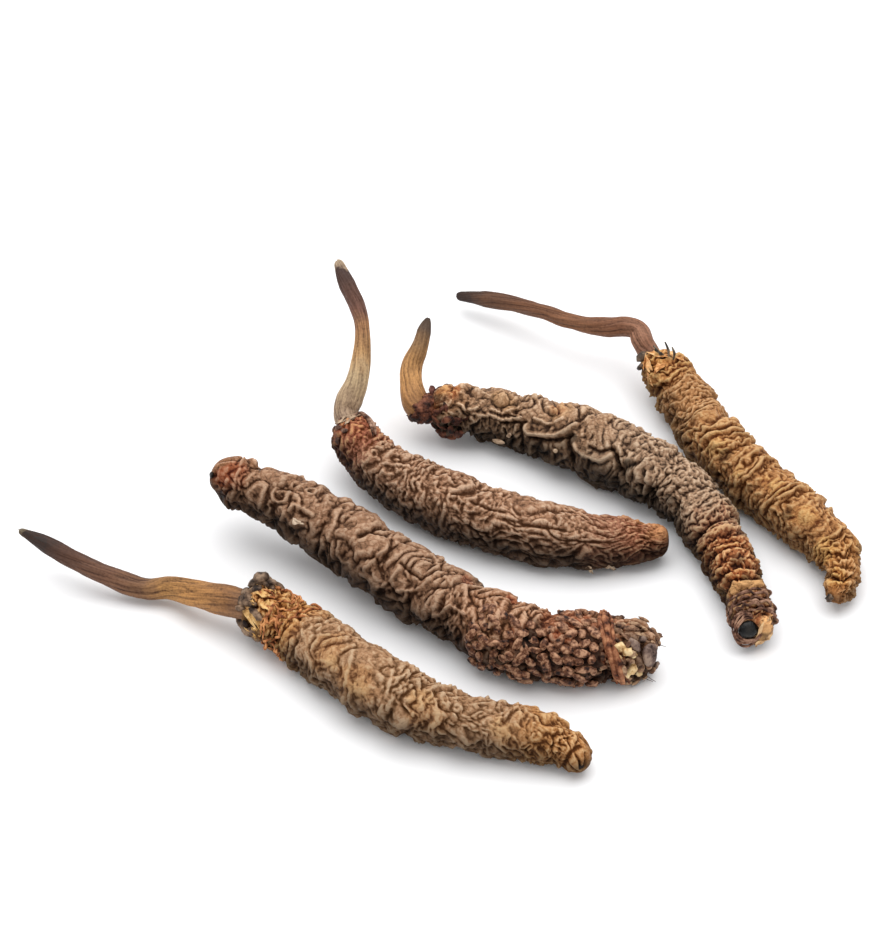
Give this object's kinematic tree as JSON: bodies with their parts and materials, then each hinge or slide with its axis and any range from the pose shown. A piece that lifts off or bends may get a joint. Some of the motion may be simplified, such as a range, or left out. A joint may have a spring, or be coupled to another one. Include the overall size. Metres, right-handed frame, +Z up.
{
  "type": "cordyceps bundle",
  "caption": "Loose bundle of dried cordyceps: wrinkled, ringed larva husks with a thin fungus stalk growing from the head, lying on a flat surface.",
  "frame": {"origin": "bottom centre of the bounding box, on the surface that the bundle lies on", "axes": "+Z up; +X along the bundle's longest side, from the front stalk's tip towards the tails; the picture looks along +Y and 40 degrees down"},
  "size_m": [0.0719, 0.0627, 0.0143],
  "materials": {
    "ochre_husk": "dry wrinkled skin, matt",
    "brown_husk": "dry wrinkled skin, matt with small dull glints",
    "umber_husk": "dry finely wrinkled skin, matt",
    "grey_husk": "dry wrinkled skin, matt",
    "golden_husk": "dry wrinkled skin, matt",
    "brown_stalk": "dry fibrous, dull"
  },
  "bodies": {
    "root": {"front_husk": "ochre_husk", "front_stalk": "brown_stalk", "broad_husk": "brown_husk", "middle_husk": "umber_husk", "middle_stalk": "brown_stalk", "arched_husk": "grey_husk", "arched_stalk": "brown_stalk", "rear_husk": "golden_husk", "rear_stalk": "brown_stalk"}
  },
  "joints": []
}
